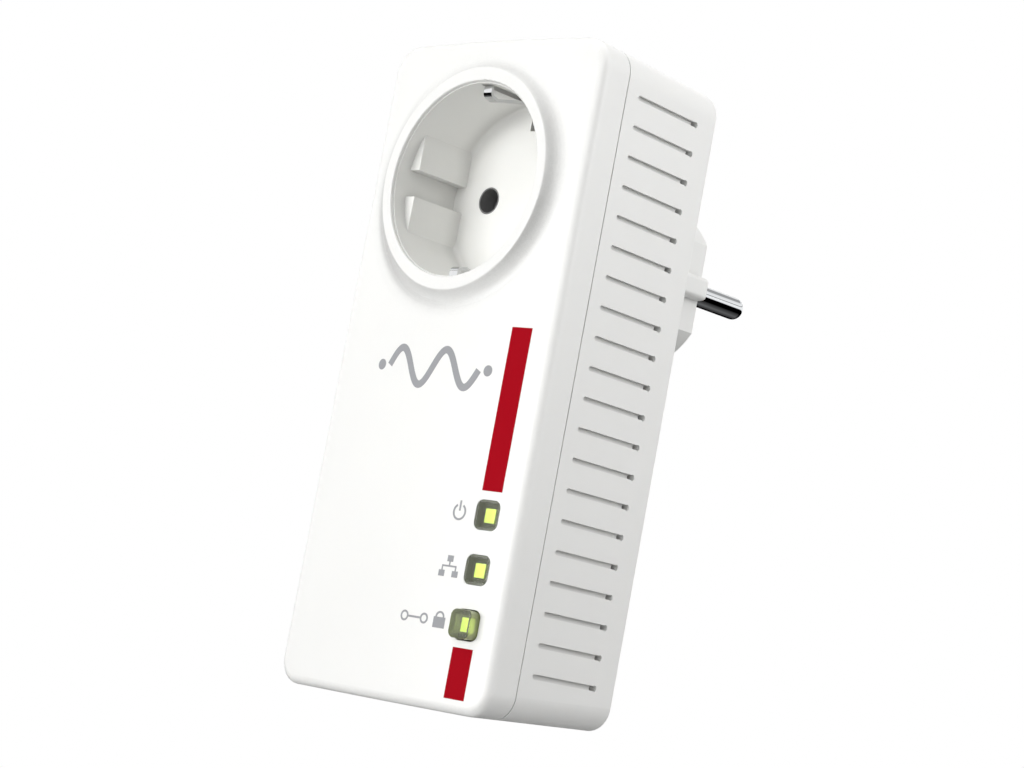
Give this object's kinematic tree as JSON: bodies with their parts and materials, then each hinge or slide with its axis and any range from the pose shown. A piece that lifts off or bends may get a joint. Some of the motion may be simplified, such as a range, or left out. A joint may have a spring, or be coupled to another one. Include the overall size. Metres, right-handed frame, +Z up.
{
  "type": "powerline adapter",
  "caption": "Plug-in powerline network adapter with a pass-through earthed mains socket, status windows, a pairing button, a network jack underneath and a two-pin earthed plug at the back.",
  "frame": {"origin": "middle of the end face of the plug body, between the two plug pins, where the plug meets the floor of a wall socket", "axes": "+Y into the wall, along the plug pins; -Y is the front face; +Z up; +X to the right as seen from the front"},
  "size_m": [0.0588, 0.0781, 0.132],
  "materials": {
    "housing_white": "satin injection-moulded white",
    "insert_white": "satin injection-moulded white",
    "shutter_grey": "dark grey, fine texture",
    "base_plastic": "glass-filled, matt",
    "contact_brass": "stamped and rolled",
    "pin_chrome": "polished nickel plating",
    "earth_metal": "nickel-plated strip",
    "spring_chrome": "bright spring strip",
    "spring_steel": "spring wire",
    "screw_steel": "zinc plated",
    "lens_smoke": "smoked green translucent",
    "button_clear": "smoked green translucent, glossy",
    "light_guide": "clear, lit yellow-green",
    "led_package": "moulded lamp package",
    "switch_body": "black",
    "switch_plunger": "natural",
    "board_green": "solder mask over glass laminate",
    "chip_black": "moulded epoxy",
    "thermal_grey": "soft gap filler",
    "heatsink_alu": "extruded, bare",
    "ferrite": "ground ferrite",
    "coil_tape": "yellow insulating tape",
    "capacitor_sleeve": "shrink sleeve",
    "x_cap_grey": "potted box",
    "choke_copper": "enamelled winding",
    "varistor_blue": "epoxy dipped",
    "fuse_body": "moulded",
    "header_gold": "gold flash",
    "jack_shield_steel": "tinned sheet",
    "jack_black": "black moulding",
    "sheet_film": "thin film"
  },
  "bodies": {
    "housing": {"board_header": "chip_black", "board_header_pins": "header_gold", "bridge_rectifier": "chip_black", "bulk_capacitors": "capacitor_sleeve", "contact_base": "base_plastic", "contact_base_screws": "screw_steel", "coupling_transformer": "ferrite", "earth_bridge": "earth_metal", "filter_choke": "choke_copper", "front_cover": "housing_white", "fuse": "fuse_body", "heatsink": "heatsink_alu", "housing_screws": "screw_steel", "insulation_sheet": "sheet_film", "jack_contacts": "header_gold", "jack_insert": "jack_black", "jack_shield": "jack_shield_steel", "lan_lens": "lens_smoke", "light_guide_frame": "base_plastic", "light_guides": "light_guide", "live_busbar": "contact_brass", "live_contact": "contact_brass", "live_plug_pin": "pin_chrome", "lower_plug_earth_strip": "earth_metal", "main_board": "board_green", "main_board_screws": "screw_steel", "memory_chip": "chip_black", "modem_chip": "chip_black", "network_magnetics": "chip_black", "neutral_busbar": "contact_brass", "neutral_contact": "contact_brass", "neutral_plug_pin": "pin_chrome", "plug_body": "housing_white", "power_board": "board_green", "power_board_screws": "screw_steel", "power_lens": "lens_smoke", "rear_housing": "housing_white", "shutter_carrier": "shutter_grey", "shutter_spring": "spring_steel", "socket_insert": "insert_white", "status_leds": "led_package", "tact_switch_body": "switch_body", "thermal_pad": "thermal_grey", "transformer_coil": "coil_tape", "transformer_core": "ferrite", "upper_plug_earth_strip": "earth_metal", "varistor": "varistor_blue", "x_capacitor": "x_cap_grey"},
    "pairing_button": {"pairing_button": "button_clear"},
    "switch_plunger": {"tact_switch_plunger": "switch_plunger"},
    "safety_shutter": {"safety_shutter": "shutter_grey"},
    "upper_earth_spring": {"upper_earth_spring": "spring_chrome"},
    "lower_earth_spring": {"lower_earth_spring": "spring_chrome"}
  },
  "joints": [
    {"name": "button_press", "type": "slide", "parent": "housing", "child": "pairing_button", "axis": [0, 1, 0], "range_m": [0, 0.0005], "stiffness_N_per_m": 400, "springref_m": -0.001},
    {"name": "switch_press", "type": "slide", "parent": "housing", "child": "switch_plunger", "axis": [0, 1, 0], "range_m": [0, 0.0005]},
    {"name": "shutter_turn", "type": "hinge", "parent": "housing", "child": "safety_shutter", "pos_m": [0, -0.0363, 0.0081], "axis": [0, -1, 0], "range_deg": [0, 40], "stiffness_Nm_per_rad": 0.002, "springref_deg": -11.46, "deforming": ["shutter_spring"]},
    {"name": "upper_spring_flex", "type": "hinge", "parent": "housing", "child": "upper_earth_spring", "pos_m": [0, -0.0387, 0.028], "axis": [-1, 0, 0], "range_deg": [0, 5], "stiffness_Nm_per_rad": 0.05, "springref_deg": -1.72},
    {"name": "lower_spring_flex", "type": "hinge", "parent": "housing", "child": "lower_earth_spring", "pos_m": [0, -0.0387, -0.0118], "axis": [1, 0, 0], "range_deg": [0, 5], "stiffness_Nm_per_rad": 0.05, "springref_deg": -1.72}
  ],
  "couplings": [
    {"joint": "switch_press", "follows": "button_press", "ratio": 1}
  ]
}
